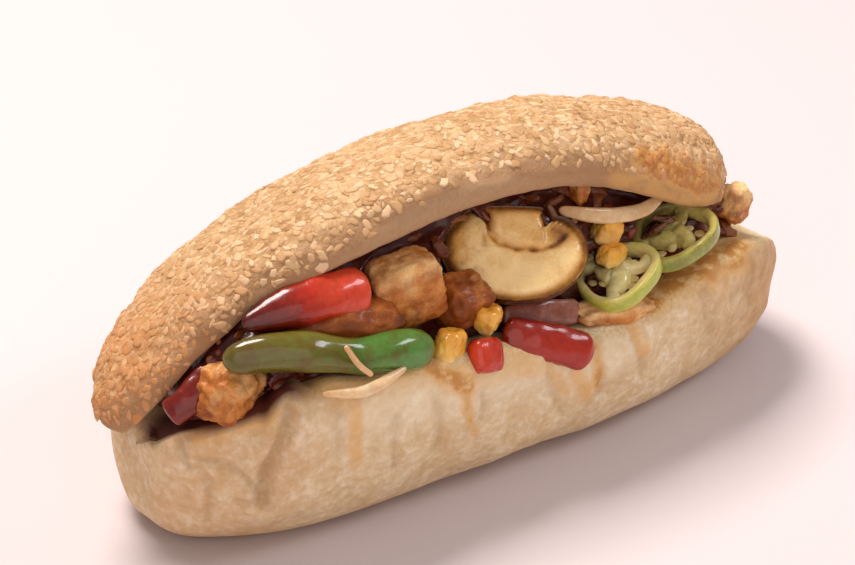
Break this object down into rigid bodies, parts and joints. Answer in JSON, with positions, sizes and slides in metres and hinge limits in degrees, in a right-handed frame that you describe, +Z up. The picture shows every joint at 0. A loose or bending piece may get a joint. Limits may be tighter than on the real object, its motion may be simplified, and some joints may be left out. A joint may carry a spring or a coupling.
{
  "type": "chicken sandwich",
  "caption": "Long soft oat-topped roll, cut along the front and hinged at the back, filled with sauced chicken, peppers, mushroom, onion and corn.",
  "frame": {"origin": "under the middle of the sandwich's box, on the surface that it rests on", "axes": "+X along the roll towards its wide open end, -Y out of its mouth, +Z up"},
  "size_m": [0.1998, 0.0864, 0.09],
  "materials": {
    "bread_roll": "baked wheat crust, matt and speckled with oats",
    "filling_bed": "dark sauced filling, glossy",
    "green_chili": "glossy pepper skin",
    "mushroom": "moist cut mushroom",
    "light_ring": "moist cut pepper",
    "dark_ring": "moist cut pepper",
    "red_pepper": "glossy pepper skin",
    "chicken": "sauced cooked chicken, moist",
    "onion": "soft cooked onion, moist",
    "red_onion": "soft cooked onion, moist",
    "corn": "moist corn skin"
  },
  "bodies": {
    "root": {"bread_roll": "bread_roll", "filling_bed": "filling_bed", "green_chili": "green_chili", "mushroom_slice": "mushroom", "jalapeno_ring_1": "light_ring", "jalapeno_ring_2": "dark_ring", "red_pepper_strip_1": "red_pepper", "red_pepper_strip_2": "red_pepper", "red_pepper_strip_3": "red_pepper", "red_pepper_strip_4": "red_pepper", "chicken_chunk_1": "chicken", "chicken_chunk_2": "chicken", "chicken_chunk_3": "chicken", "chicken_chunk_4": "chicken", "chicken_chunk_5": "chicken", "chicken_chunk_6": "chicken", "chicken_chunk_7": "chicken", "onion_strip_1": "onion", "onion_strip_2": "onion", "onion_strand": "onion", "red_onion_strip": "red_onion", "corn_kernel_1": "corn", "corn_kernel_2": "corn", "corn_kernel_3": "corn", "corn_kernel_4": "corn"}
  },
  "joints": []
}
